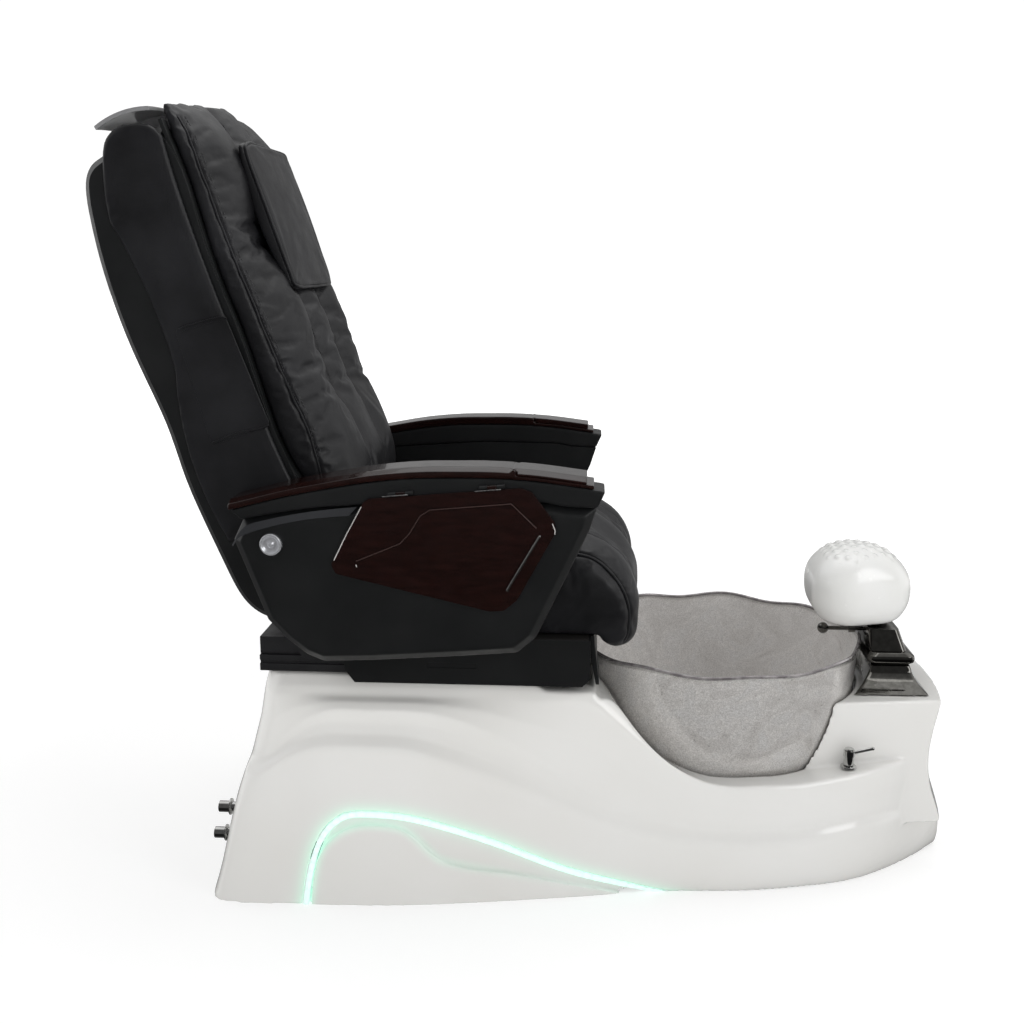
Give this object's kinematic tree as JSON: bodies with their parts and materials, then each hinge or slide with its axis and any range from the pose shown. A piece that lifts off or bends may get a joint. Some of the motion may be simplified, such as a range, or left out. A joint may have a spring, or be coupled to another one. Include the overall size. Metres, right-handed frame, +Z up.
{
  "type": "pedicure spa chair",
  "caption": "Reclining massage seat with flip-up arms and side trays on a moulded base with a glass foot bowl, footrest and water spout.",
  "frame": {"origin": "on the floor under the middle of the chair's length, width centred", "axes": "+X towards the sitter's front, +Y to the sitter's left, +Z up"},
  "size_m": [1.5539, 0.7628, 1.406],
  "materials": {
    "gelcoat": "gloss",
    "footrest_white": "gloss",
    "led_diffuser": "satin",
    "bowl_glass": "gloss",
    "polished_steel": "polished",
    "frame_steel": "satin",
    "bright_steel": "satin",
    "drive_plastic": "matte",
    "black_satin": "satin",
    "burgundy_lacquer": "gloss",
    "black_leather": "satin",
    "seat_board_wood": "matte",
    "silver_paint": "satin"
  },
  "bodies": {
    "base": {"base_shell": "gelcoat", "access_panel_right": "gelcoat", "access_panel_left": "gelcoat", "led_strip_right": "led_diffuser", "led_strip_left": "led_diffuser", "foot_bowl": "bowl_glass", "bowl_drain": "polished_steel", "jet_cover": "polished_steel", "jet_pump": "drive_plastic", "water_inlets": "polished_steel", "power_inlet": "drive_plastic", "base_frame": "frame_steel", "levelling_feet": "drive_plastic", "spout_housing": "polished_steel", "spout_collar": "polished_steel", "valve_plate": "polished_steel", "valve_body": "polished_steel", "slide_tracks": "frame_steel", "slide_motor": "drive_plastic"},
    "footrest_post": {"footrest_post": "footrest_white"},
    "footrest_pad": {"footrest_pad": "footrest_white"},
    "footrest_knob": {"footrest_knob": "polished_steel"},
    "valve_lever": {"valve_lever": "polished_steel"},
    "carriage": {"seat_frame": "frame_steel", "seat_board": "seat_board_wood", "seat_pan": "black_satin", "front_skirt": "black_satin", "seat_cushion": "black_leather", "arm_brackets": "frame_steel", "recline_motor": "drive_plastic"},
    "recline_rod": {"recline_rod": "bright_steel"},
    "back": {"back_frame": "frame_steel", "back_shell": "black_satin", "top_cap": "silver_paint", "back_cushion": "black_leather", "side_pad_right": "black_leather", "side_pad_left": "black_leather", "side_pocket_right": "black_leather", "side_pocket_left": "black_leather", "massage_rails": "bright_steel"},
    "massage_carriage": {"massage_carriage": "drive_plastic"},
    "massage_rollers": {"massage_rollers": "drive_plastic"},
    "head_pillow": {"head_pillow": "black_leather"},
    "arm_right": {"arm_shell_right": "black_satin", "arm_liner_right": "black_satin", "arm_beam_right": "black_satin", "arm_top_right": "burgundy_lacquer", "arm_pivot_right": "polished_steel", "tray_hinges_right": "polished_steel"},
    "tray_right": {"side_tray_right": "burgundy_lacquer"},
    "lid_right": {"cup_lid_right": "burgundy_lacquer"},
    "arm_left": {"arm_shell_left": "black_satin", "arm_liner_left": "black_satin", "arm_beam_left": "black_satin", "arm_top_left": "burgundy_lacquer", "arm_pivot_left": "polished_steel", "tray_hinges_left": "polished_steel"},
    "tray_left": {"side_tray_left": "burgundy_lacquer"},
    "lid_left": {"cup_lid_left": "burgundy_lacquer"}
  },
  "joints": [
    {"name": "footrest_height", "type": "slide", "parent": "base", "child": "footrest_post", "axis": [0, 0, 1], "range_m": [0, 0.05]},
    {"name": "footrest_tilt", "type": "hinge", "parent": "footrest_post", "child": "footrest_pad", "pos_m": [0.63, 0, 0.452], "axis": [0, 1, 0], "range_deg": [-8, 8]},
    {"name": "footrest_knob_turn", "type": "hinge", "parent": "footrest_post", "child": "footrest_knob", "pos_m": [0.56, 0, 0.418], "axis": [1, 0, 0], "range_deg": [-180, 180]},
    {"name": "valve_turn", "type": "hinge", "parent": "base", "child": "valve_lever", "pos_m": [0.555, -0.213, 0.242], "axis": [0, 0, -1], "range_deg": [0, 90]},
    {"name": "seat_slide", "type": "slide", "parent": "base", "child": "carriage", "axis": [1, 0, 0], "range_m": [-0.08, 0]},
    {"name": "back_recline", "type": "hinge", "parent": "carriage", "child": "back", "pos_m": [-0.44, 0, 0.486], "axis": [0, -1, 0], "range_deg": [0, 25]},
    {"name": "recline_rod_slide", "type": "slide", "parent": "carriage", "child": "recline_rod", "axis": [1, 0, 0], "range_m": [0, 0.0227]},
    {"name": "massage_travel", "type": "slide", "parent": "back", "child": "massage_carriage", "axis": [-0.2851, 0, 0.9585], "range_m": [-0.15, 0.33]},
    {"name": "massage_roll", "type": "hinge", "parent": "massage_carriage", "child": "massage_rollers", "pos_m": [-0.54565, 0, 0.89587], "axis": [0, 1, 0], "continuous": true},
    {"name": "pillow_flip", "type": "hinge", "parent": "back", "child": "head_pillow", "pos_m": [-0.545, 0, 1.34], "axis": [0, -1, 0], "range_deg": [0, 100]},
    {"name": "arm_lift_right", "type": "hinge", "parent": "carriage", "child": "arm_right", "pos_m": [-0.459, -0.33, 0.661], "axis": [0, -1, 0], "range_deg": [0, 60]},
    {"name": "tray_swing_right", "type": "hinge", "parent": "arm_right", "child": "tray_right", "pos_m": [-0.1655, -0.377, 0.7569], "axis": [-0.9966, 0, -0.0824], "range_deg": [0, 95]},
    {"name": "lid_turn_right", "type": "hinge", "parent": "arm_right", "child": "lid_right", "pos_m": [-0.0505, -0.33, 0.78919], "axis": [0, -1, 0], "range_deg": [0, 100]},
    {"name": "arm_lift_left", "type": "hinge", "parent": "carriage", "child": "arm_left", "pos_m": [-0.459, 0.33, 0.661], "axis": [0, -1, 0], "range_deg": [0, 60]},
    {"name": "tray_swing_left", "type": "hinge", "parent": "arm_left", "child": "tray_left", "pos_m": [-0.1655, 0.377, 0.7569], "axis": [0.9966, 0, 0.0824], "range_deg": [0, 95]},
    {"name": "lid_turn_left", "type": "hinge", "parent": "arm_left", "child": "lid_left", "pos_m": [-0.0505, 0.33, 0.78919], "axis": [0, -1, 0], "range_deg": [0, 100]}
  ],
  "couplings": [
    {"joint": "recline_rod_slide", "follows": "back_recline", "m_per_rad": 0.0516}
  ]
}
